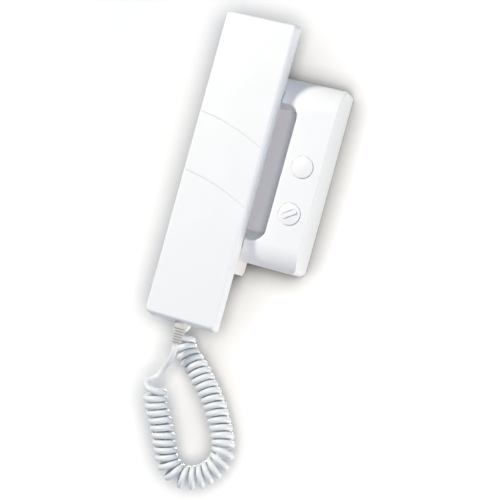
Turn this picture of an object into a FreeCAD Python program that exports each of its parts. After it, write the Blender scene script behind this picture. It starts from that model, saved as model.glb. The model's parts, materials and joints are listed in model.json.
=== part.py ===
import FreeCAD, Part
import math
import os

# A slimline wall phone: a wall base with two push buttons, a long handset that hangs on it and a curly cord.
# Millimetres, +Z up. The wall is the plane y = 0 and the phone stands out of it towards -Y, so every depth
# below is a distance out from the wall. The origin is on the wall, midway between the two wall screws.

# How far a cutting shape runs past the surface that it cuts, and a piece into the one that it joins
past = 1.0

# Base cover
base_width = 89.0
base_height = 128.0
base_depth = 33.0
base_low_r = 5.0
base_high_r = 2.5
least_corner_r = 0.6
cover_wall = 2.2
cover_lift = 0.4
low_round_height = 16.0
low_round_drop = 11.0
high_round_height = 20.0
high_round_drop = 18.0
cover_edge_r = 0.5

# Handset
handset_width = 50.0
handset_length = 213.0
handset_thickness = 14.0
handset_proud = 11.5
handset_rise = 33.5
handset_end_lean = 3.0
handset_corner_r = 3.0
handset_front_edge_r = 2.0
handset_back_edge_r = 2.5
handset_wall = 2.2
handset_back_height = 6.0
lip_height = 1.5
lip_thickness = 1.0
fit_gap = 0.1

# Two shallow curved lines across the handset's front
accent_radius = 150.0
accent_width = 0.7
accent_cut = 0.5
accent_tilt = 17.5
accent_rises = (29.5, -11.0)

# Finger scoop beside the handset, and the platform and lugs behind it
side_gap = 0.4
seat_gap = 0.4
scoop_share = 0.328
scoop_undercut = 9.5
scoop_depth = 16.0
scoop_top_inset = 21.2
scoop_bottom_inset = 21.7
scoop_r = 8.3
scoop_low_lip = 6.7
scoop_high_lip = 2.0
scoop_rim_r = 1.5
lift_angle = 45.0
lug_width = 16.0
lug_half_height = 3.0
lug_reach = 5.2
lug_insets = (20.0, 12.0)
pocket_gap = 0.35
pocket_wall = 1.5

# Buttons
button_r = 7.2
button_gap = 0.2
button_dome = 1.0
button_proud = 0.5
button_travel = 1.2
button_heights = (6.0, -26.0)
flange_r = 8.6
flange_thickness = 1.4
stem_r = 2.5
bezel_width = 0.7
bezel_cut = 0.3
bar_length = 10.4
bar_width = 3.0
bar_proud = 0.5
bar_tilt = 34.0
bar_groove = 0.6
bar_floor = 0.3
play = 0.3

# Wall plate, its screws, window and board posts
plate_thickness = 3.0
plate_gap = 0.3
wall_screw_spacing = 83.3
wall_screw_r = 2.3
pad_r = 6.0
pad_height = 1.0
window_width = 19.0
window_height = 24.0
window_offset_x = 1.0
window_centre_z = 2.0
post_r = 3.0
post_inset_x = 7.0
post_past_button = 6.5
catch_width = 8.0
catch_height = 2.5
catch_depth = 5.0
catch_thickness = 1.5

# Circuit board and what stands on it
board_thickness = 1.6
board_gap_x = 2.3
board_corner_r = 1.5
board_past_post = 3.5
board_screw_r = 1.1
board_head_r = 2.5
board_head_height = 1.6
thread_gap = 0.1
switch_side = 6.0
switch_height = 3.5
switch_nub_r = 1.75
switch_nub = 1.5
hook_switch_width = 12.0
hook_switch_height = 7.0
hook_switch_tall = 5.0
hook_height = 26.0
hook_room = 4.8
buzzer_r = 7.0
buzzer_tall = 6.4
buzzer_rise = 17.0
buzzer_hole_r = 1.0
tall_capacitor = (4.2, 11.0, 12.5)
short_capacitor = (3.0, 8.5, 13.5)
capacitor_step = 20.0
amplifier_side = 10.0
amplifier_tall = 1.6
network_length = 15.0
network_width = 2.5
network_tall = 4.0
spring_wire = 0.8
terminal_ways = 4
terminal_pitch = 5.08
terminal_depth = 10.0
terminal_width = 12.0
terminal_screw_r = 1.8
terminal_screw_long = 3.0
terminal_slot = 0.6
terminal_end = 0.8
terminal_wire = 3.0
terminal_offset_x = 1.5
terminal_height = -24.0

# Hook plunger
plunger_r = 3.0
plunger_flange_r = 5.0
plunger_flange = 1.5
plunger_stem_r = 1.6
plunger_bevel = 0.8
plunger_travel = 3.8
handset_travel = 40.0

# Outlet block under the base, with the cord's socket and plug
outlet_width = 28.6
outlet_inset = 2.9
outlet_drop = 9.6
outlet_setback = 6.0
outlet_front_r = 2.0
outlet_back_r = 5.0
socket_width = 12.6
socket_height = 12.6
socket_tall = 11.0
socket_setback = 13.0
plug_width = 7.6
plug_thick = 6.4
plug_length = 14.0
plug_hole_gap = 0.7
plug_latch_width = 3.2
plug_latch_height = 0.25
plug_boot_length = 5.6
plug_boot_wall = 0.4
plug_boot_r = 3.1

# Cover screw
cover_screw_x = 24.0
cover_screw_depth = 9.0
cover_screw_r = 1.45
screw_end_room = 1.5
cover_head_r = 3.0
cover_head_height = 1.2
cover_boss_width = 8.0
cover_boss_depth = 11.0
cover_boss_height = 11.0

# Inside the handset
ear_inset = 18.0
ear_dome_r = 14.0
ear_dome_rise = 4.0
ear_edge_r = 1.8
ear_wall = 1.8
grille_hole_r = 0.9
grille_pitch = 3.8
gasket_thickness = 1.0
gasket_width = 2.5
capsule_tall = 7.6
capsule_step = 0.6
mouth_inset = 14.5
mouth_pitch = 3.6
mouth_width = 20.0
mouth_tall = 8.0
mouth_rise = 2.0
microphone_r = 4.85
microphone_tall = 5.2
grommet_wall = 1.5
grommet_lip = 0.8
collar_wall = 1.2
ballast_width = 28.0
ballast_length = 60.0
ballast_thickness = 4.0
ballast_corner_r = 2.0
stake_r = 1.6
shell_screw_insets = (67.5, 30.5)
shell_screw_r = 1.45
shell_head_r = 3.0
shell_head_height = 1.6
boss_wall = 2.0
boss_meet = 2.0
collar_clear = 1.0

# Strain relief at the handset's lower end
boot_length = 13.5
boot_top_r = 4.3
boot_tip_r = 3.1
boot_neck_r = 2.6
boot_flange_r = 3.6
boot_flange = 1.4
boot_collar = 2.4
boot_ribs = 6
boot_groove = 0.7
boot_groove_share = 0.4

# Curly cord: a route of points chosen by hand, and the coil wound round part of it
cord_r = 2.1
cord_sides = 8
coil_r = 8.0
coil_pitch = 4.95
coil_inner_pitch = 4.8
coil_start = 22.5
coil_start_lead = 17.0
coil_start_ramp = 3.0
coil_start_turn = 0.25
coil_end_from_plug = 37.0
coil_end_ramp = 18.0
cord_gap = 0.3
cord_straight = 2.2
cord_route = (
    (-23.4, 36.2, -140.4), (-28.0, 35.8, -146.0), (-30.4, 35.2, -151.6), (-28.4, 34.6, -159.0),
    (-24.0, 33.8, -168.0),
    (-19.2, 32.9, -177.5), (-13.8, 32.0, -186.6), (-9.8, 31.0, -196.4), (-5.8, 30.2, -205.2),
    (0.0, 29.5, -211.0), (7.0, 28.8, -213.0), (14.6, 28.0, -211.3), (22.0, 27.0, -206.3),
    (27.6, 26.0, -198.8), (29.2, 25.2, -190.0), (26.6, 24.6, -182.0), (22.4, 24.0, -174.5),
    (16.6, 23.2, -165.2), (9.6, 22.3, -156.4), (1.4, 21.2, -148.2), (-6.8, 20.4, -140.6),
    (-15.4, 19.2, -134.4), (-20.8, 18.3, -126.8), (-22.0, 17.3, -119.0), (-21.4, 16.4, -109.5),
    (-17.0, 15.2, -99.0), (-12.8, 14.2, -91.6))

# Places worked out from the sizes above
base_right = base_width / 2
base_left = -base_right
base_top = base_height / 2
base_bottom = -base_top
handset_left = base_left
handset_right = handset_left + handset_width
handset_x = (handset_left + handset_right) / 2
handset_top = base_top + handset_rise
handset_bottom = handset_top - handset_length
handset_front_depth = base_depth + handset_proud
handset_back_depth = handset_front_depth - handset_thickness
parting_depth = handset_back_depth + handset_back_height
lip_inset = handset_wall - lip_thickness
shell_floor_depth = handset_back_depth + handset_wall
shell_roof_depth = handset_front_depth - handset_wall
platform_depth = handset_back_depth - seat_gap
platform_edge = handset_right + side_gap
scoop_right = handset_right + scoop_share * (base_right - handset_right)
scoop_left = handset_right - scoop_undercut
scoop_floor_depth = base_depth - scoop_depth
scoop_top = base_top - scoop_top_inset
scoop_bottom = base_bottom + scoop_bottom_inset
lug_heights = (base_top - lug_insets[0], base_bottom + lug_insets[1])
handset_z = (handset_top + handset_bottom) / 2
ear_height = handset_top - ear_inset
mouth_height = handset_bottom + mouth_inset
shell_screw_heights = (handset_top - shell_screw_insets[0], handset_bottom + shell_screw_insets[1])
button_x = (scoop_right + base_right) / 2
panel_back_depth = base_depth - cover_wall
plunger_tip = handset_back_depth - play
plunger_flange_front = platform_depth - cover_wall - 2 * fit_gap - plunger_travel
hook_switch_front = plunger_flange_front - plunger_flange - hook_room
board_front_depth = hook_switch_front - hook_switch_tall
board_back_depth = board_front_depth - board_thickness
post_z = post_past_button - button_heights[1]
board_half_height = post_z + board_past_post
window_centre_x = handset_x + window_offset_x
board_half_width = base_width / 2 - cover_wall - board_gap_x
post_x = base_right - post_inset_x
outlet_right = handset_right - outlet_inset
outlet_left = outlet_right - outlet_width
outlet_bottom = base_bottom - outlet_drop
outlet_depth = base_depth - outlet_setback
socket_depth = outlet_depth - socket_setback
socket_x = (outlet_left + outlet_right) / 2
plug_end = outlet_bottom - 1.0
plug_top = plug_end + plug_length


def place(x, depth, z):
    return FreeCAD.Vector(x, -depth, z)


def block(x0, x1, d0, d1, z0, z1):
    return Part.makeBox(x1 - x0, d1 - d0, z1 - z0, place(x0, d1, z0))


def peg(x, z, r, d0, d1):
    """A cylinder square to the wall."""
    return Part.makeCylinder(r, d1 - d0, place(x, d0, z), FreeCAD.Vector(0, -1, 0))


def post(x, depth, r, z0, z1):
    """An upright cylinder."""
    return Part.makeCylinder(r, z1 - z0, place(x, depth, z0), FreeCAD.Vector(0, 0, 1))


def ring(x, z, r_out, r_in, d0, d1):
    return peg(x, z, r_out, d0, d1).cut(peg(x, z, r_in, d0 - past, d1 + past))


def outline(x0, x1, z0, z1, r_low, r_high, depth):
    """A rectangle parallel to the wall, with round corners: r_low at the bottom, r_high at the top."""
    def corner(x, z, r, start):
        turn = [math.radians(start + a) for a in (0, 45, 90)]
        return [place(x + r * math.cos(t), depth, z + r * math.sin(t)) for t in turn]
    corners = [corner(x1 - r_low, z0 + r_low, r_low, -90), corner(x1 - r_high, z1 - r_high, r_high, 0),
               corner(x0 + r_high, z1 - r_high, r_high, 90), corner(x0 + r_low, z0 + r_low, r_low, 180)]
    edges = []
    for i, points in enumerate(corners):
        edges.append(Part.Arc(*points).toShape())
        edges.append(Part.makeLine(points[2], corners[(i + 1) % 4][0]))
    return Part.Wire(edges)


def slab(x0, x1, z0, z1, r, d0, d1):
    face = Part.Face(outline(x0, x1, z0, z1, r, r, d0))
    return face.extrude(FreeCAD.Vector(0, d0 - d1, 0))


def side_prism(points, x0, x1):
    """A prism across the phone, drawn as (depth, z) points; a third value is the middle of an arc to it."""
    edges = []
    for i, a in enumerate(points):
        b = points[(i + 1) % len(points)]
        start, end = place(x0, a[0], a[1]), place(x0, b[0], b[1])
        if len(b) > 2:
            middle = place(x0, b[2][0], b[2][1])
            edges.append(Part.Arc(start, middle, end).toShape())
        else:
            edges.append(Part.makeLine(start, end))
    return Part.Face(Part.Wire(edges)).extrude(FreeCAD.Vector(x1 - x0, 0, 0))


def turned(x, z, profile):
    """A turned piece square to the wall: profile holds (radius, depth) points, closed by the axis."""
    points = [place(x + r, d, z) for r, d in profile]
    face = Part.Face(Part.makePolygon(points + points[:1]))
    return face.revolve(place(x, 0, z), FreeCAD.Vector(0, 1, 0), 360)


def joined(first, others):
    return first.fuse(others).removeSplitter()


def edges_where(shape, test):
    """The edges whose bounding box passes the test."""
    return [e for e in shape.Edges if test(e.BoundBox)]


# Base cover

def rounded_end(inset, height, drop):
    """Half of the base's side view: where its front starts to round, the arc's middle and its end."""
    full_r = (height ** 2 + drop ** 2) / (2 * drop)
    r = full_r - inset
    flat = base_height / 2 - height
    centre = base_depth - full_r
    turn = math.asin((height - inset) / r)
    middle = (centre + r * math.cos(turn / 2), flat + r * math.sin(turn / 2))
    return flat, middle, centre + r * math.cos(turn)


def arched_body(inset, back):
    """The base's outer form, inset all round: flat in front, with its ends rounded back to the wall."""
    half = base_height / 2 - inset
    front = base_depth - inset
    high_flat, high_middle, high_depth = rounded_end(inset, high_round_height, high_round_drop)
    low_flat, low_middle, low_depth = rounded_end(inset, low_round_height, low_round_drop)
    side = [(back, -half), (low_depth, -half), (front, -low_flat, (low_middle[0], -low_middle[1])),
            (front, high_flat), (high_depth, half, high_middle), (back, half)]
    low_r, high_r = max(base_low_r - inset, least_corner_r), max(base_high_r - inset, least_corner_r)
    face = Part.Face(outline(base_left + inset, base_right - inset, -half, half, low_r, high_r, back))
    body = face.extrude(place(0, base_depth + past - back, 0))
    return body.common(side_prism(side, base_left - past, base_right + past))


def scoop(inset):
    """The finger scoop as a solid, grown by inset: its ends lean outwards, by their lips at the front."""
    floor_depth = scoop_floor_depth - inset
    rim_depth = base_depth + 2
    reach = (rim_depth - floor_depth) / scoop_depth
    low = scoop_bottom - inset - scoop_low_lip * reach
    high = scoop_top + inset + scoop_high_lip * reach
    x0, x1 = scoop_left - inset, scoop_right + inset
    r = scoop_r + inset
    floor = outline(x0, x1, scoop_bottom - inset, scoop_top + inset, r, r, floor_depth)
    rim = outline(x0, x1, low, high, r, r, rim_depth)
    return Part.makeLoft([floor, rim], True, True)


def behind_handset(inset):
    """The space that the handset lies in, in front of its platform."""
    return block(base_left - past, platform_edge + inset, platform_depth - inset, base_depth + past,
                 base_bottom - past, base_top + past)


def outlet_body(inset, back):
    """The block under the base that the cord plugs into, inset all round."""
    bottom = outlet_bottom + inset
    top = base_bottom + cover_wall + past
    front = outlet_depth - inset
    r_front, r_back = outlet_front_r, outlet_back_r - inset
    low = math.sqrt(0.5)
    heel = back if back > 0 else 0
    side = [(back, bottom + r_back),
            (heel, bottom + r_back),
            (heel + r_back, bottom, (heel + r_back * (1 - low), bottom + r_back * (1 - low))),
            (front - r_front, bottom),
            (front, bottom + r_front, (front - r_front * (1 - low), bottom + r_front * (1 - low))),
            (front, top), (back, top)]
    if back > 0:
        side = side[1:]
    return side_prism(side, outlet_left + inset, outlet_right - inset)


def lug_prism(height, grow, reach):
    """A cradle lug, or with grow the pocket for it: it leans along the way that the handset lifts."""
    rise = math.tan(math.radians(lift_angle))
    root = platform_depth - past
    tip = platform_depth + reach
    half = lug_half_height + grow / math.cos(math.radians(lift_angle))
    side = [(root, height - half - rise), (root, height + half - rise),
            (tip, height + half + rise * reach), (tip, height - half + rise * reach)]
    return side_prism(side, handset_x - lug_width / 2 - grow, handset_x + lug_width / 2 + grow)


def make_base_cover():
    outer = arched_body(0, cover_lift)
    front = edges_where(outer, lambda b: b.YMax < -(base_depth - high_round_drop) + 0.5)
    outer = outer.makeFillet(cover_edge_r, front)
    outer = outer.cut(behind_handset(0)).cut(scoop(0))
    rim = edges_where(outer, lambda b: b.YMax < -base_depth + 0.2
                      and platform_edge + 0.1 < b.XMax < scoop_right + 0.1
                      and b.ZMin > scoop_bottom - scoop_low_lip - past
                      and b.ZMax < scoop_top + scoop_high_lip + past)
    outer = outer.makeFillet(scoop_rim_r, rim)
    outer = joined(outer, [outlet_body(0, cover_lift)])
    inner = arched_body(cover_wall, -1).cut(behind_handset(cover_wall)).cut(scoop(cover_wall))
    cover = outer.cut(inner.fuse(outlet_body(cover_wall, -1)))
    additions = [lug_prism(z, 0, lug_reach) for z in lug_heights]
    for x in (-cover_screw_x, cover_screw_x):
        catch_back = plate_thickness + catch_depth + plate_gap
        catch_top = base_top - cover_wall
        additions.append(block(x - catch_width / 2, x + catch_width / 2, catch_back,
                               catch_back + catch_thickness, catch_top - catch_height, catch_top + fit_gap))
    cover = joined(cover, additions)
    holes = [peg(handset_x, hook_height, plunger_r + play, platform_depth - cover_wall - past,
                 platform_depth + past)]
    for z in button_heights:
        holes.append(peg(button_x, z, button_r + button_gap, panel_back_depth - past, base_depth + past))
        holes.append(peg(button_x, z, button_r + bezel_width, base_depth - bezel_cut, base_depth + past))
    holes.append(post(cover_screw_x, cover_screw_depth, cover_screw_r + play, base_bottom - past,
                      base_bottom + cover_wall + past))
    holes.append(post(cover_screw_x, cover_screw_depth, cover_head_r + play, base_bottom - past,
                      base_bottom + cover_head_height))
    half_width, half_thick = plug_width / 2 + plug_hole_gap, plug_thick / 2 + plug_hole_gap
    holes.append(block(socket_x - half_width, socket_x + half_width, socket_depth - half_thick,
                       socket_depth + half_thick,
                       outlet_bottom - past, outlet_bottom + cover_wall + past))
    return cover.cut(Part.makeCompound(holes))


# Wall plate

def make_wall_plate():
    inset = cover_wall + plate_gap
    face = Part.Face(outline(base_left + inset, base_right - inset, base_bottom + inset, base_top - inset,
                             base_low_r - inset, least_corner_r, 0))
    plate = face.extrude(place(0, plate_thickness, 0))
    tab_bottom = outlet_bottom + outlet_back_r + plate_gap
    tab_top = base_bottom + 2 * inset
    tab = block(outlet_left + inset, outlet_right - inset, 0, plate_thickness, tab_bottom, tab_top)
    seat = block(socket_x - socket_width / 2, socket_x + socket_width / 2, plate_thickness,
                 socket_depth - socket_tall / 2, tab_bottom + play, tab_top)
    additions = [tab, seat]
    for z in (-wall_screw_spacing / 2, wall_screw_spacing / 2):
        additions.append(peg(0, z, pad_r, plate_thickness, plate_thickness + pad_height))
    for x in (-post_x, post_x):
        for z in (-post_z, post_z):
            additions.append(peg(x, z, post_r, plate_thickness, board_back_depth))
    for x in (-cover_screw_x, cover_screw_x):
        additions.append(block(x - catch_width / 2, x + catch_width / 2, plate_thickness,
                               plate_thickness + catch_depth, base_top - inset - catch_height,
                               base_top - inset))
    boss_low = base_bottom + inset
    boss = block(cover_screw_x - cover_boss_width / 2, cover_screw_x + cover_boss_width / 2, plate_thickness,
                 plate_thickness + cover_boss_depth, boss_low, boss_low + cover_boss_height)
    additions.append(boss)
    plate = joined(plate, additions)
    holes = [block(window_centre_x - window_width / 2, window_centre_x + window_width / 2, -1,
                   plate_thickness + past, window_centre_z - window_height / 2,
                   window_centre_z + window_height / 2)]
    for z in (-wall_screw_spacing / 2, wall_screw_spacing / 2):
        holes.append(peg(0, z, wall_screw_r, -1, plate_thickness + pad_height + past))
    for x in (-post_x, post_x):
        for z in (-post_z, post_z):
            holes.append(peg(x, z, board_screw_r + thread_gap, plate_thickness + past,
                             board_back_depth + past))
    holes.append(post(cover_screw_x, cover_screw_depth, cover_screw_r + thread_gap, boss_low - past,
                      boss_low + cover_boss_height - past))
    return plate.cut(Part.makeCompound(holes))


def make_cover_screw():
    head = post(cover_screw_x, cover_screw_depth, cover_head_r, base_bottom, base_bottom + cover_head_height)
    shank = post(cover_screw_x, cover_screw_depth, cover_screw_r, base_bottom,
                 base_bottom + cover_wall + cover_boss_height - screw_end_room)
    return head.fuse(shank)


# Circuit board

def make_circuit_board():
    board = slab(-board_half_width, board_half_width, -board_half_height, board_half_height, board_corner_r,
                 board_back_depth, board_front_depth)
    holes = [block(window_centre_x - window_width / 2, window_centre_x + window_width / 2, 0, base_depth,
                   window_centre_z - window_height / 2, window_centre_z + window_height / 2)]
    for x in (-post_x, post_x):
        for z in (-post_z, post_z):
            holes.append(peg(x, z, board_screw_r + play, 0, base_depth))
    return board.cut(Part.makeCompound(holes))


def make_board_screws():
    screws = []
    for x in (-post_x, post_x):
        for z in (-post_z, post_z):
            head = peg(x, z, board_head_r, board_front_depth, board_front_depth + board_head_height)
            shank = peg(x, z, board_screw_r, plate_thickness + 2, board_front_depth + 0.5)
            screws.append(head.fuse(shank))
    return Part.makeCompound(screws)


def make_board_components():
    front = board_front_depth
    pieces = []
    for drop, (r, tall, left) in ((0, tall_capacitor), (capacitor_step, short_capacitor)):
        pieces.append(peg(handset_x - left, hook_height - drop, r, front, front + tall))
    half = amplifier_side / 2
    x = (window_centre_x + window_width / 2 + button_x) / 2
    pieces.append(block(x - half, x + half, front, front + amplifier_tall, -half, half))
    z = (button_heights[0] + button_heights[1]) / 2
    pieces.append(block(button_x - network_length / 2, button_x + network_length / 2, front,
                        front + network_tall, z - network_width / 2, z + network_width / 2))
    return Part.makeCompound(pieces)


def make_switch(z):
    half = switch_side / 2
    case = block(button_x - half, button_x + half, board_front_depth, board_front_depth + switch_height,
                 z - half, z + half)
    nub = peg(button_x, z, switch_nub_r, board_front_depth, board_front_depth + switch_height + switch_nub)
    return case.fuse(nub)


def make_hook_switch():
    return block(handset_x - hook_switch_width / 2, handset_x + hook_switch_width / 2, board_front_depth,
                 board_front_depth + hook_switch_tall, hook_height - hook_switch_height / 2,
                 hook_height + hook_switch_height / 2)


def make_call_buzzer():
    z = button_heights[0] + buzzer_rise
    front = board_front_depth + buzzer_tall
    case = peg(button_x, z, buzzer_r, board_front_depth, front)
    return case.cut(peg(button_x, z, buzzer_hole_r, front - 2 * buzzer_hole_r, front + past))


def terminal_places():
    first = handset_x - terminal_offset_x - terminal_pitch * (terminal_ways - 1) / 2
    return [first + terminal_pitch * i for i in range(terminal_ways)]


def make_terminal_block():
    places = terminal_places()
    half = terminal_pitch / 2 + terminal_end
    front = board_front_depth + terminal_depth
    low, high = terminal_height - terminal_width / 2, terminal_height + terminal_width / 2
    case = block(places[0] - half, places[-1] + half, board_front_depth, front, low, high)
    holes = []
    for x in places:
        holes.append(peg(x, terminal_height, terminal_screw_r + thread_gap,
                         front - terminal_screw_long - past, front + past))
        holes.append(block(x - terminal_wire / 2, x + terminal_wire / 2, board_front_depth + 2,
                           board_front_depth + 2 + terminal_wire, high - terminal_width / 3, high + past))
    return case.cut(Part.makeCompound(holes))


def make_terminal_screws():
    front = board_front_depth + terminal_depth - past
    screws = []
    for x in terminal_places():
        screw = peg(x, terminal_height, terminal_screw_r, front - terminal_screw_long, front)
        slot = block(x - 2 * terminal_screw_r, x + 2 * terminal_screw_r, front - terminal_slot, front + past,
                     terminal_height - terminal_slot / 2, terminal_height + terminal_slot / 2)
        screws.append(screw.cut(slot))
    return Part.makeCompound(screws)


# Moving pieces of the base

def bar_slab(z, grow, back, front):
    """The tilted bar across a button, grown by grow all round."""
    half, end = bar_length / 2 + grow, bar_width / 2 + grow
    bar = slab(-half, half, -end, end, end - 0.05, back, front)
    bar.rotate(FreeCAD.Vector(0, 0, 0), FreeCAD.Vector(0, -1, 0), bar_tilt)
    bar.translate(FreeCAD.Vector(button_x, 0, z))
    return bar


def make_button(z, bar):
    flange_front = panel_back_depth - play
    flange_back = flange_front - flange_thickness
    stem_end = board_front_depth + switch_height + switch_nub + fit_gap + button_travel
    shoulder = base_depth + button_proud
    dome = []
    dome_r = (button_r ** 2 + button_dome ** 2) / (2 * button_dome)
    for share in (0.75, 0.5, 0.25, 0.0):
        r = button_r * share
        dome.append((r, shoulder + button_dome - dome_r + math.sqrt(dome_r ** 2 - r ** 2)))
    profile = [(0, stem_end), (stem_r, stem_end), (stem_r, flange_back), (flange_r, flange_back),
               (flange_r, flange_front), (button_r, flange_front), (button_r, shoulder)] + dome
    button = turned(button_x, z, profile)
    if bar:
        front = shoulder + button_dome + bar_proud
        groove = bar_slab(z, bar_groove, shoulder + bar_floor, front)
        button = button.cut(groove).fuse(bar_slab(z, 0, shoulder, front))
    return button


def make_button_spring(z):
    inner = switch_side * math.sqrt(0.5) + play
    flange_back = panel_back_depth - play - flange_thickness
    return ring(button_x, z, inner + spring_wire, inner, board_front_depth + fit_gap, flange_back - fit_gap)


def make_hook_plunger():
    stem_end = hook_switch_front + seat_gap
    flange_back = plunger_flange_front - plunger_flange
    profile = [(0, stem_end), (plunger_stem_r, stem_end), (plunger_stem_r, flange_back),
               (plunger_flange_r, flange_back), (plunger_flange_r, plunger_flange_front),
               (plunger_r, plunger_flange_front), (plunger_r, plunger_tip - plunger_bevel),
               (plunger_r - plunger_bevel, plunger_tip), (0, plunger_tip)]
    return turned(handset_x, hook_height, profile)


def make_hook_spring():
    inner = plunger_stem_r + 2 * play
    return ring(handset_x, hook_height, inner + 2 * spring_wire, inner,
                hook_switch_front + fit_gap,
                plunger_flange_front - plunger_flange - fit_gap)


# Cord outlet

def make_cord_socket():
    low = outlet_bottom + cover_wall + play
    case = block(socket_x - socket_width / 2, socket_x + socket_width / 2, socket_depth - socket_tall / 2,
                 socket_depth + socket_tall / 2, low, low + socket_height)
    mouth = block(socket_x - plug_width / 2 - play, socket_x + plug_width / 2 + play,
                  socket_depth - plug_thick / 2 - play, socket_depth + plug_thick / 2 + play,
                  low - past, plug_top + play)
    return case.cut(mouth)


def make_cord_plug():
    body = block(socket_x - plug_width / 2, socket_x + plug_width / 2, socket_depth - plug_thick / 2,
                 socket_depth + plug_thick / 2, plug_end, plug_top)
    latch = block(socket_x - plug_latch_width / 2, socket_x + plug_latch_width / 2,
                  socket_depth + plug_thick / 2, socket_depth + plug_thick / 2 + plug_latch_height,
                  plug_end + 1, plug_top - 1)
    boot = Part.makeCone(cord_r + plug_boot_wall, plug_boot_r, plug_boot_length,
                         place(socket_x, socket_depth, plug_end - plug_boot_length))
    return joined(body, [latch, boot])


# Handset

def end_lean(depth):
    """How far the handset's ends have come in at this depth: they lean outwards towards its back."""
    return handset_end_lean * (depth - handset_back_depth) / handset_thickness


def handset_body(inset, d0, d1):
    """The handset's outer form between two depths, inset all round."""
    low, high = handset_bottom + inset, handset_top - inset
    side = [(d0, low + end_lean(d0)), (d0, high - end_lean(d0)),
            (d1, high - end_lean(d1)), (d1, low + end_lean(d1))]
    body = side_prism(side, handset_left + inset, handset_right - inset)
    corners = edges_where(body, lambda b: b.XLength < 0.01 and b.YLength > 0.9 * (d1 - d0))
    return body.makeFillet(max(handset_corner_r - inset, least_corner_r), corners)


def boot_hole():
    return post(handset_x, parting_depth, boot_neck_r + 2 * fit_gap, handset_bottom - past,
                handset_bottom + handset_end_lean + handset_wall + past)


def accent_line(rise):
    """A thin ring whose part over the handset's front is one of the shallow curved lines."""
    tilt = math.radians(90 - accent_tilt)
    x = handset_x - accent_radius * math.cos(tilt)
    z = handset_z + rise - accent_radius * math.sin(tilt)
    return ring(x, z, accent_radius, accent_radius - accent_width, handset_front_depth - accent_cut,
                handset_front_depth + past)


def make_handset_front():
    shell = handset_body(0, parting_depth, handset_front_depth)
    front = edges_where(shell, lambda b: b.YMax < -handset_front_depth + 0.01)
    shell = shell.makeFillet(handset_front_edge_r, front)
    shell = shell.cut(handset_body(handset_wall, parting_depth - past, shell_roof_depth))
    shell = shell.cut(handset_body(lip_inset - fit_gap, parting_depth - past,
                                   parting_depth + lip_height + fit_gap))
    additions = []
    for z in shell_screw_heights:
        additions.append(peg(handset_x, z, shell_screw_r + boss_wall, shell_floor_depth + boss_meet,
                             shell_roof_depth + past))
    ballast_back = shell_roof_depth - ballast_thickness
    for z in (handset_z - ballast_length / 3, handset_z + ballast_length / 3):
        additions.append(peg(handset_x, z, stake_r, ballast_back - past, shell_roof_depth + past))
        additions.append(peg(handset_x, z, 2 * stake_r, ballast_back - 1 - fit_gap, ballast_back - fit_gap))
    shell = joined(shell, additions)
    holes = [boot_hole()]
    for z in shell_screw_heights:
        holes.append(peg(handset_x, z, shell_screw_r + thread_gap, shell_floor_depth, shell_roof_depth - 2))
    for rise in accent_rises:
        holes.append(accent_line(rise))
    return shell.cut(Part.makeCompound(holes))


def make_handset_back():
    shell = handset_body(0, handset_back_depth, parting_depth)
    back = edges_where(shell, lambda b: b.YMin > -handset_back_depth - 0.01)
    shell = shell.makeFillet(handset_back_edge_r, back)
    shell = shell.cut(handset_body(handset_wall, shell_floor_depth, parting_depth + past))
    lip = handset_body(lip_inset, parting_depth - past, parting_depth + lip_height)
    lip = lip.cut(handset_body(handset_wall, parting_depth - 2, parting_depth + 5))
    dome_depth = handset_back_depth - ear_dome_rise
    dome = peg(handset_x, ear_height, ear_dome_r, dome_depth, shell_floor_depth)
    dome = dome.makeFillet(ear_edge_r, edges_where(dome, lambda b: b.YMin > -dome_depth - 0.01))
    mouth = slab(handset_x - mouth_width / 2, handset_x + mouth_width / 2, mouth_height - mouth_tall / 2,
                 mouth_height + mouth_tall / 2, mouth_tall / 2 - 0.05, handset_back_depth - mouth_rise,
                 shell_floor_depth)
    grommet_r = microphone_r + grommet_wall + 2 * fit_gap
    additions = [lip, dome, mouth,
                 peg(handset_x, ear_height, ear_dome_r, shell_floor_depth - past,
                     parting_depth - collar_clear),
                 peg(handset_x, mouth_height, grommet_r + collar_wall, shell_floor_depth - past,
                     parting_depth - collar_clear)]
    for z in shell_screw_heights:
        additions.append(peg(handset_x, z, shell_head_r + boss_wall, shell_floor_depth - past,
                             shell_floor_depth + boss_meet - fit_gap))
    for z in lug_heights:
        tip = platform_depth + lug_reach + seat_gap + pocket_wall
        half = lug_half_height + pocket_gap + pocket_wall
        additions.append(block(handset_x - lug_width / 2 - pocket_gap - pocket_wall,
                               handset_x + lug_width / 2 + pocket_gap + pocket_wall,
                               shell_floor_depth - past, tip, z - half, z + half + lug_reach + seat_gap))
    shell = joined(shell, additions)
    holes = [boot_hole(),
             peg(handset_x, ear_height, ear_dome_r - ear_wall, dome_depth + handset_wall,
                 parting_depth + past),
             peg(handset_x, mouth_height, grommet_r, shell_floor_depth, parting_depth + past)]
    for circle in range(3):
        r = grille_pitch * circle
        count = max(6 * circle, 1)
        for i in range(count):
            turn = 2 * math.pi * i / count
            holes.append(peg(handset_x + r * math.cos(turn), ear_height + r * math.sin(turn), grille_hole_r,
                             dome_depth - past, dome_depth + handset_wall + past))
    for x in (-mouth_pitch, 0.0, mouth_pitch):
        holes.append(peg(handset_x + x, mouth_height, grille_hole_r, handset_back_depth - mouth_rise - past,
                         shell_floor_depth + past))
    for z in shell_screw_heights:
        holes.append(peg(handset_x, z, shell_screw_r + play, handset_back_depth - past, parting_depth))
        holes.append(peg(handset_x, z, shell_head_r + play, handset_back_depth - past,
                         handset_back_depth + shell_head_height + 2 * fit_gap))
    for z in lug_heights:
        holes.append(lug_prism(z, pocket_gap, lug_reach + seat_gap))
    return shell.cut(Part.makeCompound(holes))


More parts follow.
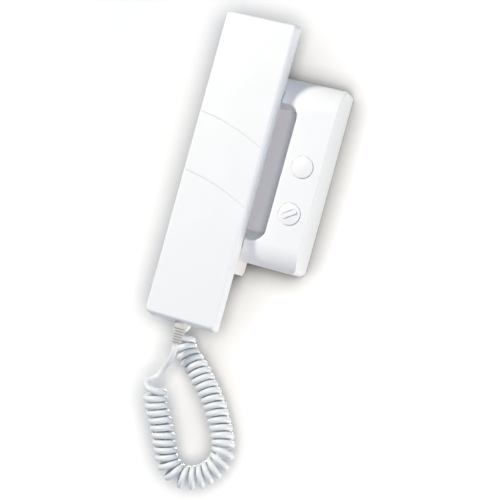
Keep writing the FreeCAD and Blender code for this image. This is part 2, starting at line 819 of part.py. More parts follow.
def make_handset_screws():
    screws = []
    head_depth = handset_back_depth + fit_gap
    for z in shell_screw_heights:
        head = peg(handset_x, z, shell_head_r, head_depth, head_depth + shell_head_height)
        shank = peg(handset_x, z, shell_screw_r, head_depth, shell_roof_depth - 3)
        screws.append(head.fuse(shank))
    return Part.makeCompound(screws)


def make_ballast_weight():
    z0, z1 = handset_z - ballast_length / 2, handset_z + ballast_length / 2
    bar = slab(handset_x - ballast_width / 2, handset_x + ballast_width / 2, z0, z1, ballast_corner_r,
               shell_roof_depth - ballast_thickness, shell_roof_depth)
    holes = [peg(handset_x, handset_z + s * ballast_length / 3, stake_r + fit_gap, parting_depth,
                 handset_front_depth) for s in (-1, 1)]
    return bar.cut(Part.makeCompound(holes))


capsule_r = ear_dome_r - ear_wall - fit_gap
gasket_depth = handset_back_depth - ear_dome_rise + handset_wall


def make_receiver_gasket():
    return ring(handset_x, ear_height, capsule_r, capsule_r - gasket_width, gasket_depth,
                gasket_depth + gasket_thickness)


def make_receiver_capsule():
    back = gasket_depth + gasket_thickness
    case_front = back + capsule_tall * capsule_step
    case = peg(handset_x, ear_height, capsule_r, back, case_front)
    magnet = peg(handset_x, ear_height, capsule_r * capsule_step, case_front - past, back + capsule_tall)
    return case.fuse(magnet)


def make_microphone_grommet():
    return ring(handset_x, mouth_height, microphone_r + grommet_wall + fit_gap, microphone_r + fit_gap / 2,
                shell_floor_depth, shell_floor_depth + microphone_tall + grommet_lip)


def make_microphone_capsule():
    return peg(handset_x, mouth_height, microphone_r, shell_floor_depth, shell_floor_depth + microphone_tall)


def make_strain_relief():
    """The boot: ribs that taper to the cord, a neck through the handset's end and a flange inside."""
    collar = handset_bottom - boot_collar
    tip = handset_bottom - boot_length
    rows = [(0, handset_bottom + handset_end_lean), (boot_top_r, handset_bottom + handset_end_lean),
            (boot_top_r, collar)]
    step = (collar - tip) / boot_ribs
    for i in range(boot_ribs):
        top = collar - step * i
        r = boot_top_r + (boot_tip_r - boot_top_r) * (i + 1) / boot_ribs
        groove_low = top - step * boot_groove_share
        rows += [(r - boot_groove, top), (r - boot_groove, groove_low), (r, groove_low), (r, top - step)]
    rows.append((0, tip))
    points = [place(handset_x + r, parting_depth, z) for r, z in rows]
    face = Part.Face(Part.makePolygon(points + points[:1]))
    boot = face.revolve(place(handset_x, parting_depth, 0), FreeCAD.Vector(0, 0, 1), 360)
    boot = boot.cut(handset_body(-fit_gap, handset_back_depth, handset_front_depth))
    flange_top = handset_bottom + handset_wall + end_lean(parting_depth + boot_flange_r) + boot_flange
    neck = post(handset_x, parting_depth, boot_neck_r, handset_bottom - boot_collar, flange_top)
    flange = post(handset_x, parting_depth, boot_flange_r, handset_bottom, flange_top)
    flange = flange.common(handset_body(handset_wall + fit_gap, shell_floor_depth + fit_gap,
                                        handset_front_depth))
    return joined(boot, [neck, flange])


# Curly cord

def route_stations(step):
    """Points, tangents, steady cross directions and curvature along the cord's route, every step or so."""
    boot_tip = handset_bottom - boot_length - cord_gap
    plug_tip = plug_end - plug_boot_length - cord_gap
    poles = [place(handset_x, parting_depth, boot_tip - cord_straight * drop) for drop in (0.0, 1.0, 3.0)]
    poles += [place(*p) for p in cord_route]
    poles += [place(socket_x, socket_depth, plug_tip - cord_straight * drop) for drop in (3.0, 1.0, 0.0)]
    spans = len(poles) - 2
    curve = Part.BSplineCurve()
    curve.buildFromPolesMultsKnots(poles, [3] + [1] * (spans - 1) + [3], list(range(spans + 1)), False, 2)
    length = curve.length()
    count = int(length / step)
    stations = []
    across = FreeCAD.Vector(0, -1, 0)
    for i in range(count + 1):
        s = length * i / count
        u = min(curve.parameterAtDistance(s, 0.0), float(spans))
        tangent = curve.tangent(u)[0].normalize()
        across = (across - tangent * across.dot(tangent)).normalize()
        stations.append([s, curve.value(u), tangent, across, FreeCAD.Vector()])
    gap = length / count
    for i in range(1, count):
        stations[i][4] = (stations[i + 1][2] - stations[i - 1][2]) * (0.5 / gap)
    return stations, length


def eased(share):
    """Goes from 0 to 1 without a corner, as share does."""
    share = min(max(share, 0.0), 1.0)
    return share * share * (3 - 2 * share)


def wind_cord():
    """The wire's centre line as rows of point, heading, turns so far and distance along the route."""
    stations, length = route_stations(0.1)
    last = length - coil_end_from_plug
    centre_r = coil_r - cord_r
    phase = 2 * math.pi * coil_start_turn
    points = []
    turns = []
    for i, (s, point, tangent, across, bend) in enumerate(stations):
        left = (last - s) / coil_end_ramp
        r = centre_r * eased((s - coil_start) / coil_start_lead + 1) * eased(left)
        out = across * math.cos(phase) - tangent.cross(across) * math.sin(phase)
        points.append(point + out * r)
        turns.append(phase / (2 * math.pi))
        pitch = max(coil_pitch, coil_inner_pitch / (1 - centre_r * bend.Length))
        share = eased((s - coil_start) / coil_start_ramp) * (min(1.0, 0.2 + left) if left > 0 else 0.0)
        if i + 1 < len(stations):
            phase += 2 * math.pi / pitch * share * (stations[i + 1][0] - s)
    wire = []
    for i, point in enumerate(points):
        before = points[max(i - 1, 0)]
        after = points[min(i + 1, len(points) - 1)]
        wire.append((point, (after - before).normalize(), turns[i], stations[i][0]))
    return wire


def least_gap(wire):
    """The least distance, surface to surface, between stretches of the cord over half a turn apart."""
    picked = wire[::2]
    cell = 4 * cord_r
    grid = {}
    least = 99.0
    for i, (p, _, turn, s) in enumerate(picked):
        key = tuple(int(math.floor(c / cell)) for c in (p.x, p.y, p.z))
        for dx in (-1, 0, 1):
            for dy in (-1, 0, 1):
                for dz in (-1, 0, 1):
                    for j in grid.get((key[0] + dx, key[1] + dy, key[2] + dz), ()):
                        q, _, other, t = picked[j]
                        if turn - other > 0.5 or (turn == other and s - t > 5 * cord_r):
                            least = min(least, p.distanceToPoint(q))
        grid.setdefault(key, []).append(i)
    return least - 2 * cord_r


def arc_edge(start, heading, end):
    """The arc that leaves start along heading and reaches end."""
    chord = end - start
    reach = chord.Length
    along = chord * (1 / reach)
    side = heading - along * heading.dot(along)
    if side.Length < 1e-4:
        return Part.makeLine(start, end)
    angle = math.acos(max(-1.0, min(1.0, heading.dot(along))))
    middle = (start + end) * 0.5 + side.normalize() * (reach / 2 * math.tan(angle / 2))
    return Part.Arc(start, middle, end).toShape()


def biarc(a, heading_a, b, heading_b):
    """Two arcs from a to b that meet in line, leaving along heading_a and arriving along heading_b."""
    v = b - a
    t = heading_a + heading_b
    spread = 2 * (1 - heading_a.dot(heading_b))
    if spread < 1e-6:
        return [Part.makeLine(a, b)]
    d = (-v.dot(t) + math.sqrt(v.dot(t) ** 2 + spread * v.dot(v))) / spread
    joint = (a + b + (heading_a - heading_b) * d) * 0.5
    through = ((b - heading_b * d) - (a + heading_a * d)).normalize()
    return [arc_edge(a, heading_a, joint), arc_edge(joint, through, b)]


def make_curly_cord():
    wire = wind_cord()
    picked = [wire[0]]
    for row in wire[1:-1]:
        turns = row[2] - picked[-1][2]
        run = row[3] - picked[-1][3]
        if turns >= 0.5 or run > 6 * cord_r or (turns < 1e-9 and len(picked) < 3 and run > 2 * cord_r):
            picked.append(row)
    if wire[-1][3] - picked[-1][3] < 2 * cord_r:
        picked.pop()
    picked.append(wire[-1])
    edges = []
    for a, b in zip(picked, picked[1:]):
        edges += biarc(a[0], a[1], b[0], b[1])
    path = Part.Wire(edges)
    start, heading = wire[0][0], wire[0][1]
    side = FreeCAD.Vector(1, 0, 0) * cord_r
    section = []
    for i in range(cord_sides + 1):
        turn = 2 * math.pi * (i + 0.5) / cord_sides
        section.append(start + side * math.cos(turn) + heading.cross(side) * math.sin(turn))
    tube = path.makePipeShell([Part.makePolygon(section)], True, False)
    area = cord_sides / 2 * cord_r ** 2 * math.sin(2 * math.pi / cord_sides)
    print("cord length %.0f mm, %.1f turns, least gap to itself %.2f mm"
          % (path.Length, wire[-1][2] - coil_start_turn, least_gap(wire)))
    print("cord volume against its section and length %.4f" % (tube.Volume / (area * path.Length)))
    return tube


nodes = {
    "wall_plate": make_wall_plate(),
    "base_cover": make_base_cover(),
    "cover_screw": make_cover_screw(),
    "circuit_board": make_circuit_board(),
    "board_screws": make_board_screws(),
    "board_components": make_board_components(),
    "terminal_block": make_terminal_block(),
    "terminal_screws": make_terminal_screws(),
    "hook_switch": make_hook_switch(),
    "hook_plunger": make_hook_plunger(),
    "hook_spring": make_hook_spring(),
    "upper_switch": make_switch(button_heights[0]),
    "lower_switch": make_switch(button_heights[1]),
    "upper_button": make_button(button_heights[0], False),
    "lower_button": make_button(button_heights[1], True),
    "upper_button_spring": make_button_spring(button_heights[0]),
    "lower_button_spring": make_button_spring(button_heights[1]),
    "call_buzzer": make_call_buzzer(),
    "cord_socket": make_cord_socket(),
    "cord_plug": make_cord_plug(),
    "handset_front": make_handset_front(),
    "handset_back": make_handset_back(),
    "handset_screws": make_handset_screws(),
    "ballast_weight": make_ballast_weight(),
    "receiver_gasket": make_receiver_gasket(),
    "receiver_capsule": make_receiver_capsule(),
    "microphone_grommet": make_microphone_grommet(),
    "microphone_capsule": make_microphone_capsule(),
    "strain_relief": make_strain_relief(),
    "curly_cord": make_curly_cord(),
}

os.makedirs("parts", exist_ok=True)
for name, shape in nodes.items():
    shape.exportStep("parts/%s.step" % name)
    print("%-20s solids %d valid %s volume %.0f" % (name, len(shape.Solids), shape.isValid(), shape.Volume))
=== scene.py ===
import itertools
import json
import math

import bpy
from mathutils import Matrix, Vector


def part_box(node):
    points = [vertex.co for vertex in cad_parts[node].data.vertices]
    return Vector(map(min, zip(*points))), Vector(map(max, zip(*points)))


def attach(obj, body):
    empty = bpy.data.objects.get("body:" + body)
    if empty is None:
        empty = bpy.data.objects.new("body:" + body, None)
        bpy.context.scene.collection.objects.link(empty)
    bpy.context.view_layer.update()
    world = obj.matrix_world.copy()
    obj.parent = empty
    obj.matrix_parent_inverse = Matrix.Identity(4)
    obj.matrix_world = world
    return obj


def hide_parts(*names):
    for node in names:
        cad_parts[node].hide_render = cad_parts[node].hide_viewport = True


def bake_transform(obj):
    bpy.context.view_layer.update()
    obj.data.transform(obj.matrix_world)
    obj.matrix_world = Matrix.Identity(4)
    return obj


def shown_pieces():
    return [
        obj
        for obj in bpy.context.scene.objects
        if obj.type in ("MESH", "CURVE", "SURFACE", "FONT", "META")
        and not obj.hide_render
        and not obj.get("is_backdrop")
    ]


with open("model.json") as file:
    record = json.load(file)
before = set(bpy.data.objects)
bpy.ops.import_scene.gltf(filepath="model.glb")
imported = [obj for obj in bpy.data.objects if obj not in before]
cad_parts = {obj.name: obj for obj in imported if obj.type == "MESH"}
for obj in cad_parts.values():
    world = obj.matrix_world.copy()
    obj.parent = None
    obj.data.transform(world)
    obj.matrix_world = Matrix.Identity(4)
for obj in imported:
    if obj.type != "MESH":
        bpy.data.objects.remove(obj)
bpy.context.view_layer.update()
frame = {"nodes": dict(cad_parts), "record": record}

scene = bpy.context.scene
scene.view_settings.view_transform = "Standard"
nodes = frame["nodes"]
slot_of = {part["node"]: part["material_slot"] for part in frame["record"]["subparts"]}

# Camera: its place in metres, its angles in degrees, its lens and sensor in millimetres

camera_place = (0.2699, -0.8967, -0.0708)
camera_turn = 16.636
camera_rise = 0.9725
camera_roll = 15.394
camera_lens = 98.05
camera_sensor = 36.0
camera_near = 0.05

view = bpy.data.cameras.new("camera")
view.lens = camera_lens
view.sensor_width = camera_sensor
view.clip_start = camera_near
camera = bpy.data.objects.new("camera", view)
turned = Matrix.Rotation(math.radians(camera_turn), 4, "Z")
raised = Matrix.Rotation(math.radians(90 + camera_rise), 4, "X")
rolled = Matrix.Rotation(math.radians(camera_roll), 4, "Z")
camera.matrix_world = Matrix.Translation(camera_place) @ turned @ raised @ rolled
scene.collection.objects.link(camera)
scene.camera = camera

# Shapes


def new_piece(name, verts, faces):
    """A piece with smooth shading, from its points and faces."""
    mesh = bpy.data.meshes.new(name)
    mesh.from_pydata(verts, [], faces)
    mesh.shade_smooth()
    mesh.update()
    piece = bpy.data.objects.new(name, mesh)
    scene.collection.objects.link(piece)
    return piece


def circle(sides):
    """The corners of a polygon in a circle of radius 1, counter-clockwise."""
    turns = [2 * math.pi * k / sides for k in range(sides)]
    return [(math.cos(turn), math.sin(turn)) for turn in turns]


def skin(rings, sides):
    """The faces of a closed tube over rings of points, each counter-clockwise as seen from the next."""
    faces = []
    for ring in range(rings - 1):
        for k in range(sides):
            a = ring * sides + k
            b = ring * sides + (k + 1) % sides
            faces.append((a, b, b + sides, a + sides))
    faces.append(tuple(reversed(range(sides))))
    faces.append(tuple(range((rings - 1) * sides, rings * sides)))
    return faces


def headings(line):
    """The unit direction of the line at each of its points."""
    found = []
    for i in range(len(line)):
        ahead = line[min(i + 1, len(line) - 1)]
        behind = line[max(i - 1, 0)]
        found.append((ahead - behind).normalized())
    return found


def square_to(heading, side):
    """The unit direction nearest to side that is square to the heading."""
    return (side - heading * side.dot(heading)).normalized()


def tube(name, line, radius, sides):
    """A round tube along a line, closed at both ends."""
    corners = circle(sides)
    side = Vector((1, 0, 0))
    verts = []
    for point, heading in zip(line, headings(line)):
        side = square_to(heading, side)
        other = heading.cross(side)
        verts += [point + (side * x + other * y) * radius for x, y in corners]
    return new_piece(name, verts, skin(len(line), sides))


def clamped(share):
    """The share, kept between 0 and 1."""
    return min(max(share, 0.0), 1.0)


def eased(share):
    """Goes from 0 to 1 as share does, without a corner."""
    share = clamped(share)
    return share * share * (3 - 2 * share)


# Shader nodes


def empty_tree(owner):
    """The node tree of a material or a world, with nothing in it."""
    owner.use_nodes = True
    owner.node_tree.nodes.clear()
    return owner.node_tree


def worked_out(tree, operation, *values):
    """What the operation makes of its values, each a number or another node's output."""
    node = tree.nodes.new("ShaderNodeMath")
    node.operation = operation
    for socket, value in zip(node.inputs, values):
        if isinstance(value, bpy.types.NodeSocket):
            tree.links.new(value, socket)
        else:
            socket.default_value = value
    return node.outputs["Value"]


def object_place(tree):
    """Where a point of the surface is, in the piece's own space."""
    return tree.nodes.new("ShaderNodeTexCoord").outputs["Object"]


def noise(tree, scale, detail=2.0):
    """Cloudy noise over the piece, with this many clouds to a metre."""
    clouds = tree.nodes.new("ShaderNodeTexNoise")
    clouds.inputs["Scale"].default_value = scale
    clouds.inputs["Detail"].default_value = detail
    tree.links.new(object_place(tree), clouds.inputs["Vector"])
    return clouds.outputs["Fac"]


def painted_shade_factor(tree, reach, power, samples, only_local=False):
    """A painted shade factor: 1 on an open surface, and less where another is within reach, the more so the
    larger the power is.
    """
    near = tree.nodes.new("ShaderNodeAmbientOcclusion")
    near.samples = samples
    near.only_local = only_local
    near.inputs["Distance"].default_value = reach
    return worked_out(tree, "POWER", near.outputs["AO"], power)


def seen_rays(tree):
    """1 for rays that show a surface to the camera, straight or by gloss or glass, and 0 for the rest."""
    ray = tree.nodes.new("ShaderNodeLightPath")
    found = ray.outputs["Is Camera Ray"]
    for name in ("Is Glossy Ray", "Is Transmission Ray"):
        found = worked_out(tree, "MAXIMUM", found, ray.outputs[name])
    return found


# Materials

cloud_scale = 45.0
cloud_detail = 3.0
cloud_start = 0.3
cloud_end = 0.7
rub_scale = 160.0
rub_spread = 0.15
grain = 0.0006
grain_relief = 0.00001
# Painted shade in grooves and gaps: how far it reaches and how many rays look for it
groove_shade_reach = 0.0012
groove_shade_samples = 8

# Where a finish has a groove power, painted shade darkens its grooves, ribs and the gaps between cord turns
# by that much
finishes = {
    "shell_white": dict(colour=(0.92, 0.92, 0.92), roughness=0.33, groove_shade_power=0.22),
    "button_white": dict(colour=(0.93, 0.93, 0.93), roughness=0.28, groove_shade_power=0.22),
    "plate_grey": dict(colour=(0.62, 0.63, 0.64), roughness=0.45),
    "cord_white": dict(colour=(0.87, 0.89, 0.89), roughness=0.38, spread=0.03, groove_shade_power=0.5),
    "boot_grey": dict(colour=(0.66, 0.645, 0.62), roughness=0.5, groove_shade_power=0.6),
    "board_green": dict(colour=(0.03, 0.22, 0.09), roughness=0.35, spread=0.2, coat=0.3),
    "part_black": dict(colour=(0.02, 0.02, 0.022), roughness=0.4, spread=0.2),
    "terminal_green": dict(colour=(0.05, 0.33, 0.16), roughness=0.4, spread=0.1),
    "screw_steel": dict(colour=(0.56, 0.56, 0.57), roughness=0.3, spread=0.1, metallic=1.0),
    "spring_steel": dict(colour=(0.5, 0.5, 0.52), roughness=0.3, spread=0.1, metallic=1.0),
    "plug_clear": dict(colour=(0.75, 0.78, 0.8), roughness=0.15),
    "capsule_metal": dict(colour=(0.55, 0.55, 0.54), roughness=0.35, spread=0.1, metallic=1.0),
    "gasket_rubber": dict(colour=(0.05, 0.05, 0.05), roughness=0.7, spread=0.2),
}


def surface_colour(tree, colour, spread, groove_shade_power):
    """The colour, clouded by its spread and, with a groove shade power, darkened by painted shade in grooves
    and between turns.
    """
    tint = tree.nodes.new("ShaderNodeValToRGB")
    darker, full = tint.color_ramp.elements
    darker.position = cloud_start
    darker.color = (*[c * (1 - spread) for c in colour], 1)
    full.position = cloud_end
    full.color = (*colour, 1)
    tree.links.new(noise(tree, cloud_scale, cloud_detail), tint.inputs["Fac"])
    if groove_shade_power == 0:
        return tint.outputs["Color"]
    shaded = tree.nodes.new("ShaderNodeVectorMath")
    shaded.operation = "SCALE"
    tree.links.new(tint.outputs["Color"], shaded.inputs[0])
    # painted shade: darker where the piece's own surfaces close in
    painted_groove_shade = painted_shade_factor(tree, groove_shade_reach, groove_shade_power, groove_shade_samples, only_local=True)
    tree.links.new(painted_groove_shade, shaded.inputs["Scale"])
    return shaded.outputs["Vector"]


def surface_material(name, colour, roughness, spread=0.02, metallic=0.0, coat=0.0, groove_shade_power=0.0):
    """A material with uneven colour and gloss, a fine grain in its relief, and painted shade in its grooves
    where a groove shade power is given.
    """
    material = bpy.data.materials.new(name)
    tree = empty_tree(material)
    shader = tree.nodes.new("ShaderNodeBsdfPrincipled")
    shader.inputs["Metallic"].default_value = metallic
    shader.inputs["Coat Weight"].default_value = coat
    tree.links.new(surface_colour(tree, colour, spread, groove_shade_power), shader.inputs["Base Color"])

    gloss = tree.nodes.new("ShaderNodeMapRange")
    gloss.inputs["To Min"].default_value = roughness * (1 - rub_spread)
    gloss.inputs["To Max"].default_value = roughness * (1 + rub_spread)
    tree.links.new(noise(tree, rub_scale), gloss.inputs["Value"])
    tree.links.new(gloss.outputs["Result"], shader.inputs["Roughness"])

    relief = tree.nodes.new("ShaderNodeBump")
    relief.inputs["Distance"].default_value = grain_relief
    tree.links.new(noise(tree, 1 / grain), relief.inputs["Height"])
    tree.links.new(relief.outputs["Normal"], shader.inputs["Normal"])

    output = tree.nodes.new("ShaderNodeOutputMaterial")
    tree.links.new(shader.outputs["BSDF"], output.inputs["Surface"])
    return material


materials = {name: surface_material(name, **finish) for name, finish in finishes.items()}
for name, piece in nodes.items():
    piece.data.materials.clear()
    piece.data.materials.append(materials[slot_of[name]])


def stand_in(piece, node):
    """Lets the piece stand for the node, in the node's material."""
    slot = slot_of[node]
    piece.data.materials.append(materials[slot])
    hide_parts(node)


# Curly cord, in metres

cord_r = 0.0021
cord_sides = 12
cord_steps = 64
cord_gap = 0.0003
cord_straight = 0.0022
coil_r = 0.0080
coil_centre_r = coil_r - cord_r
coil_pitch = 0.0050
coil_inner_pitch = 0.0041
coil_start = 0.0225
coil_start_turn = 0.55
coil_end_from_plug = 0.0360
coil_lead = 0.0195
coil_ramp = 0.0180
cord_middle = (
    (-0.0210, -0.0364, -0.1418),
    (-0.0238, -0.0361, -0.1484),
    (-0.0260, -0.0356, -0.1550),
    (-0.0262, -0.0348, -0.1617),
    (-0.0240, -0.0338, -0.1686),
    (-0.0192, -0.0329, -0.1775),
    (-0.0138, -0.0320, -0.1866),
    (-0.0098, -0.0310, -0.1964),
    (-0.0058, -0.0302, -0.2052),
    (0.0000, -0.0295, -0.2110),
    (0.0070, -0.0288, -0.2130),
    (0.0146, -0.0280, -0.2113),
    (0.0220, -0.0270, -0.2063),
    (0.0276, -0.0260, -0.1988),
    (0.0292, -0.0252, -0.1900),
    (0.0266, -0.0246, -0.1820),
    (0.0224, -0.0240, -0.1745),
    (0.0166, -0.0232, -0.1652),
    (0.0096, -0.0223, -0.1564),
    (0.0014, -0.0212, -0.1482),
    (-0.0068, -0.0204, -0.1406),
    (-0.0154, -0.0192, -0.1344),
    (-0.0208, -0.0183, -0.1268),
    (-0.0220, -0.0173, -0.1190),
    (-0.0214, -0.0164, -0.1095),
    (-0.0170, -0.0152, -0.0990),
    (-0.0128, -0.0142, -0.0916),
)


def straight_out_of(node):
    """The route's first points, straight down out of the node's lower end."""
    low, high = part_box(node)
    mouth = (low + high) / 2
    mouth.z = low.z - cord_gap
    return [mouth - Vector((0, 0, cord_straight * run)) for run in (0, 1, 3)]


def cord_points():
    """The route's points: out of the strain relief, round the loop and up into the plug."""
    start = straight_out_of("strain_relief")
    end = straight_out_of("cord_plug")
    return start + [Vector(p) for p in cord_middle] + end[::-1]


def smooth_line(points, steps):
    """Points read from the smooth curve that the route's points shape."""
    curve = bpy.data.curves.new("route", "CURVE")
    curve.dimensions = "3D"
    spline = curve.splines.new("NURBS")
    spline.points.add(len(points) - 1)
    for target, p in zip(spline.points, points):
        target.co = (*p, 1.0)
    spline.order_u = 3
    spline.use_endpoint_u = True
    spline.resolution_u = steps
    holder = bpy.data.objects.new("route", curve)
    mesh = bpy.data.meshes.new_from_object(holder)
    line = [v.co.copy() for v in mesh.vertices]
    bpy.data.meshes.remove(mesh)
    bpy.data.objects.remove(holder)
    bpy.data.curves.remove(curve)
    return line


def along_coil(along, coil_end, reach, early=0.0):
    """1 along the coil, easing to 0 over reach at its two ends; early moves both of these outwards."""
    return eased((along - coil_start + early) / reach) * eased((coil_end - along + early) / reach)


def coil_turns(tangents, travelled, coil_end):
    """The wire's angle round the route at each point: slower in a bend, and held on the straight ends."""
    turns = [2 * math.pi * coil_start_turn]
    for i in range(len(travelled) - 1):
        before = max(i - 1, 0)
        bend = (tangents[i + 1] - tangents[before]).length / (travelled[i + 1] - travelled[before])
        pitch = max(coil_pitch, coil_inner_pitch / (1 - coil_centre_r * bend))
        share = along_coil(travelled[i], coil_end, coil_ramp)
        turns.append(turns[-1] + 2 * math.pi / pitch * share * (travelled[i + 1] - travelled[i]))
    return turns


def wound(line):
    """The wire's centre line, in turns round the route's line, and its share of the route at each point."""
    tangents = headings(line)
    steps = [(b - a).length for a, b in zip(line, line[1:])]
    travelled = list(itertools.accumulate(steps, initial=0.0))
    coil_end = travelled[-1] - coil_end_from_plug
    across = Vector((0, -1, 0))
    wire = []
    turns = coil_turns(tangents, travelled, coil_end)
    for point, tangent, along, turn in zip(line, tangents, travelled, turns):
        across = square_to(tangent, across)
        out = across * math.cos(turn) - tangent.cross(across) * math.sin(turn)
        wire.append(point + out * coil_centre_r * along_coil(along, coil_end, coil_lead, early=coil_lead))
    return wire, [along / travelled[-1] for along in travelled]


route = cord_points()
wire, shares = wound(smooth_line(route, cord_steps))
cord = tube("cord", wire, cord_r, cord_sides)
stand_in(cord, "curly_cord")
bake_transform(cord)

# Springs

spring_wire_r = 0.0004
spring_pitch = 0.0014
spring_sides = 8
spring_steps = 20
spring_flat_turns = 0.4


def spring(node):
    """A wound spring in the node's place, from its seat on the base to the body that it pushes."""
    low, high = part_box(node)
    middle = (low + high) / 2
    back = Vector((middle.x, high.y - spring_wire_r, middle.z))
    front = Vector((middle.x, low.y + spring_wire_r, middle.z))
    centre_r = (high.x - low.x) / 2 - spring_wire_r
    turns = round((front - back).length / spring_pitch)
    line = []
    for i in range(turns * spring_steps + 1):
        turn = i / spring_steps
        angle = 2 * math.pi * turn
        share = clamped((turn - spring_flat_turns) / (turns - 2 * spring_flat_turns))
        line.append(back.lerp(front, share) + Vector((math.cos(angle), 0, math.sin(angle))) * centre_r)
    piece = tube("wound_" + node, line, spring_wire_r, spring_sides)
    stand_in(piece, node)
    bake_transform(piece)


spring("hook_spring")
spring("upper_button_spring")
spring("lower_button_spring")

# Screws, in metres, and in shares of the head's radius and height

screw_sides = 32
screw_head_height = 0.0014
screw_head_profile = ((0.60, 0.0), (0.82, 0.10), (0.96, 0.35), (1.0, 0.70), (1.0, 1.0))
screw_shank_share = 0.52
screw_tip_share = 0.35
screw_sharp_angle = math.radians(35)
board_screw_head_r = 0.0025
thread_pitch = 0.0009
thread_root_share = 0.80
recess_arm_share = 0.56
recess_half_share = 0.14
recess_depth = 0.0010
recess_taper = 0.6


def screw_body(head_r, length):
    """A screw along Z with its thread, the top of its head at 0."""
    shank_r = head_r * screw_shank_share
    profile = [(head_r * across, -screw_head_height * down) for across, down in screw_head_profile]
    profile.append((shank_r, -screw_head_height))
    height = -screw_head_height - thread_pitch
    while height > thread_pitch * 2 - length:
        profile.append((shank_r * thread_root_share, height))
        profile.append((shank_r, height - thread_pitch / 2))
        height -= thread_pitch
    profile.append((shank_r * screw_tip_share, -length))
    verts = [(r * x, r * y, z) for r, z in reversed(profile) for x, y in circle(screw_sides)]
    return new_piece("screw_body", verts, skin(len(profile), screw_sides))


def screw_recess(head_r):
    """A cross that tapers down into a screw's head."""
    arm = head_r * recess_arm_share
    half = head_r * recess_half_share
    outline = []
    for quarter in range(4):
        turn = Matrix.Rotation(math.pi / 2 * quarter, 2)
        outline += [turn @ Vector(corner) for corner in ((arm, -half), (arm, half), (half, half))]
    floor = [(*(corner * recess_taper), -recess_depth) for corner in outline]
    mouth = [(*corner, recess_depth) for corner in outline]
    return new_piece("screw_recess", floor + mouth, skin(2, len(outline)))


def screw_shape(head_r, length):
    """The mesh of one screw along Z, with a cross recess in its head."""
    body = screw_body(head_r, length)
    recess = screw_recess(head_r)
    cut = body.modifiers.new("recess", "BOOLEAN")
    cut.operation = "DIFFERENCE"
    cut.solver = "EXACT"
    cut.object = recess
    shape = bpy.data.meshes.new_from_object(body.evaluated_get(bpy.context.evaluated_depsgraph_get()))
    bpy.data.objects.remove(body)
    bpy.data.objects.remove(recess)
    return shape


def head_tops(low, high, facing, head_r):
    """The tops of the screws' heads in a node's box, which has one screw or two along each side."""
    choices = []
    for least, most, way in zip(low, high, facing):
        if way:
            choices.append([most if way > 0 else least])
        elif most - least > 3 * head_r:
            choices.append([least + head_r, most - head_r])
        else:
            choices.append([(least + most) / 2])
    return [Vector(top) for top in itertools.product(*choices)]


def screws(node, body, facing, head_r=None):
    """The node's screws, with their heads facing one way; without head_r, a head is as wide as the box."""
    low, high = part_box(node)
    head_r = head_r or (high.x - low.x) / 2
    facing = Vector(facing)
    turned = facing.to_track_quat("Z", "Y").to_matrix().to_4x4()
    shape = screw_shape(head_r, abs((high - low).dot(facing)))
    verts = []
    faces = []
    for top in head_tops(low, high, facing, head_r):
        placed = Matrix.Translation(top) @ turned
        start = len(verts)
        verts += [placed @ v.co for v in shape.vertices]
        faces += [tuple(start + i for i in polygon.vertices) for polygon in shape.polygons]
    bpy.data.meshes.remove(shape)
    piece = new_piece("cross_" + node, verts, faces)
    piece.data.set_sharp_from_angle(angle=screw_sharp_angle)
    stand_in(piece, node)
    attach(piece, body)


screws("handset_screws", "handset", facing=(0, 1, 0))
screws("cover_screw", "base", facing=(0, 0, -1))
screws("board_screws", "base", facing=(0, -1, 0), head_r=board_screw_head_r)

# Wall

wall_gap = 0.0008
wall_half = 2.0
wall_white = 0.80
wall_bounce = 0.25
# Painted shadow round the phone: the reach and power of each darkening of the wall
wall_painted_shadows = ((0.017, 0.75), (0.060, 0.65))
wall_painted_shadow_samples = 16
wall_rim_start = 0.12
wall_rim_end = 0.42
wall_rim_squeeze = (1.0, 1.0, 0.55)


def wall_colour(tree, seen):
    """Pale where the wall is seen, with painted shadow that darkens it near the phone, and dull to other
    rays, so that it lights less.
    """
    level = tree.nodes.new("ShaderNodeMapRange")
    level.inputs["To Min"].default_value = wall_bounce
    level.inputs["To Max"].default_value = wall_white
    tree.links.new(seen, level.inputs["Value"])
    pale = level.outputs["Result"]
    # each pass adds painted shadow near the phone
    for reach, power in wall_painted_shadows:
        pale = worked_out(tree, "MULTIPLY", pale, painted_shade_factor(tree, reach, power, wall_painted_shadow_samples))
    return pale


def wall_rim(tree, seen):
    """Where the wall is seen, 0 round the phone and 1 far from it, in an oval that is taller than wide."""
    squeeze = tree.nodes.new("ShaderNodeVectorMath")
    squeeze.operation = "MULTIPLY"
    squeeze.inputs[1].default_value = wall_rim_squeeze
    tree.links.new(object_place(tree), squeeze.inputs[0])
    apart = tree.nodes.new("ShaderNodeVectorMath")
    apart.operation = "LENGTH"
    tree.links.new(squeeze.outputs["Vector"], apart.inputs[0])
    rim = tree.nodes.new("ShaderNodeMapRange")
    rim.interpolation_type = "SMOOTHSTEP"
    rim.inputs["From Min"].default_value = wall_rim_start
    rim.inputs["From Max"].default_value = wall_rim_end
    tree.links.new(apart.outputs["Value"], rim.inputs["Value"])
    return worked_out(tree, "MULTIPLY", rim.outputs["Result"], seen)


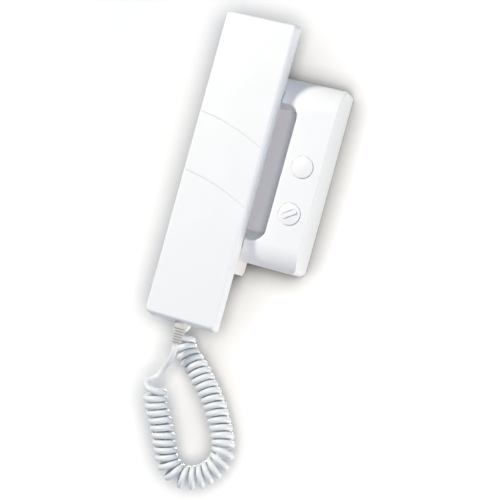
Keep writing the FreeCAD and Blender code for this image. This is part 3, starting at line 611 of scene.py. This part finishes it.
def wall_material():
    """Matt, with painted shadow round the phone, plain white further out, and clear from behind."""
    material = bpy.data.materials.new("wall")
    tree = empty_tree(material)
    seen = seen_rays(tree)
    matt = tree.nodes.new("ShaderNodeBsdfDiffuse")
    tree.links.new(wall_colour(tree, seen), matt.inputs["Color"])
    white = tree.nodes.new("ShaderNodeEmission")
    tree.links.new(wall_rim(tree, seen), white.inputs["Strength"])
    front = tree.nodes.new("ShaderNodeAddShader")
    tree.links.new(matt.outputs["BSDF"], front.inputs[0])
    tree.links.new(white.outputs["Emission"], front.inputs[1])
    clear = tree.nodes.new("ShaderNodeBsdfTransparent")
    side = tree.nodes.new("ShaderNodeNewGeometry")
    either = tree.nodes.new("ShaderNodeMixShader")
    tree.links.new(side.outputs["Backfacing"], either.inputs["Fac"])
    tree.links.new(front.outputs["Shader"], either.inputs[1])
    tree.links.new(clear.outputs["BSDF"], either.inputs[2])
    output = tree.nodes.new("ShaderNodeOutputMaterial")
    tree.links.new(either.outputs["Shader"], output.inputs["Surface"])
    return material


corners = [(x * wall_half, wall_gap, z * wall_half) for x, z in ((-1, -1), (1, -1), (1, 1), (-1, 1))]
wall = new_piece("wall", corners, [(0, 1, 2, 3)])
wall.data.materials.append(wall_material())
wall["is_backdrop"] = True

# Light

air_colour = (0.70, 0.98, 1.36)
air_level = 0.24
phone_middle = (0, -0.03, -0.02)
phone_right = (0.03, -0.02, -0.02)
phone_lower_right = (0.03, -0.02, -0.05)
wash_target = (0, 0, -0.06)


def background(tree, colour, level):
    """One even background of a world."""
    even = tree.nodes.new("ShaderNodeBackground")
    even.inputs["Color"].default_value = (*colour, 1)
    even.inputs["Strength"].default_value = level
    return even.outputs["Background"]


world = bpy.data.worlds.new("studio")
scene.world = world
sky = empty_tree(world)
both = sky.nodes.new("ShaderNodeMixShader")
sky.links.new(seen_rays(sky), both.inputs["Fac"])
sky.links.new(background(sky, air_colour, air_level), both.inputs[1])
sky.links.new(background(sky, (1, 1, 1), 1.0), both.inputs[2])
sky_output = sky.nodes.new("ShaderNodeOutputWorld")
sky.links.new(both.outputs["Shader"], sky_output.inputs["Surface"])

phone_only = bpy.data.collections.new("phone_only")
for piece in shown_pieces():
    phone_only.objects.link(piece)
wall_only = bpy.data.collections.new("wall_only")
wall_only.objects.link(wall)


def lamp(name, place, target, size, power, colour, lights=phone_only, shaded_by=phone_only):
    """A round lamp that lights one collection, and is blocked by one, or by everything if that is None."""
    data = bpy.data.lights.new(name, "AREA")
    data.shape = "DISK"
    data.size = size
    data.energy = power
    data.color = colour
    light = bpy.data.objects.new(name, data)
    aim = Vector(target) - Vector(place)
    light.matrix_world = Matrix.Translation(place) @ aim.to_track_quat("-Z", "Y").to_matrix().to_4x4()
    light.visible_camera = False
    light.light_linking.receiver_collection = lights
    light.light_linking.blocker_collection = shaded_by
    scene.collection.objects.link(light)


lamp("key", (-0.82, -1.03, 0.60), phone_middle, size=0.30, power=16.4, colour=(1.0, 0.95, 0.81))
lamp("fill", (0.55, -1.15, -0.25), phone_middle, size=0.4, power=4.2, colour=(1.1, 0.95, 0.96))
lamp("low", (0.85, 0.17, -0.45), phone_lower_right, size=0.6, power=4.1, colour=(1.12, 1.0, 0.86))
lamp("right", (1.0, -0.12, 0.05), phone_right, size=0.8, power=2.0, colour=(0.8, 1.02, 1.08))
lamp("back", (-0.25, 1.18, 0.08), phone_middle, size=0.35, power=8.0, colour=(1.0, 1.0, 1.0))
lamp("wash", camera_place, wash_target, size=0.56, power=11.6, colour=(1.06, 1.0, 0.92),
     lights=wall_only, shaded_by=None)
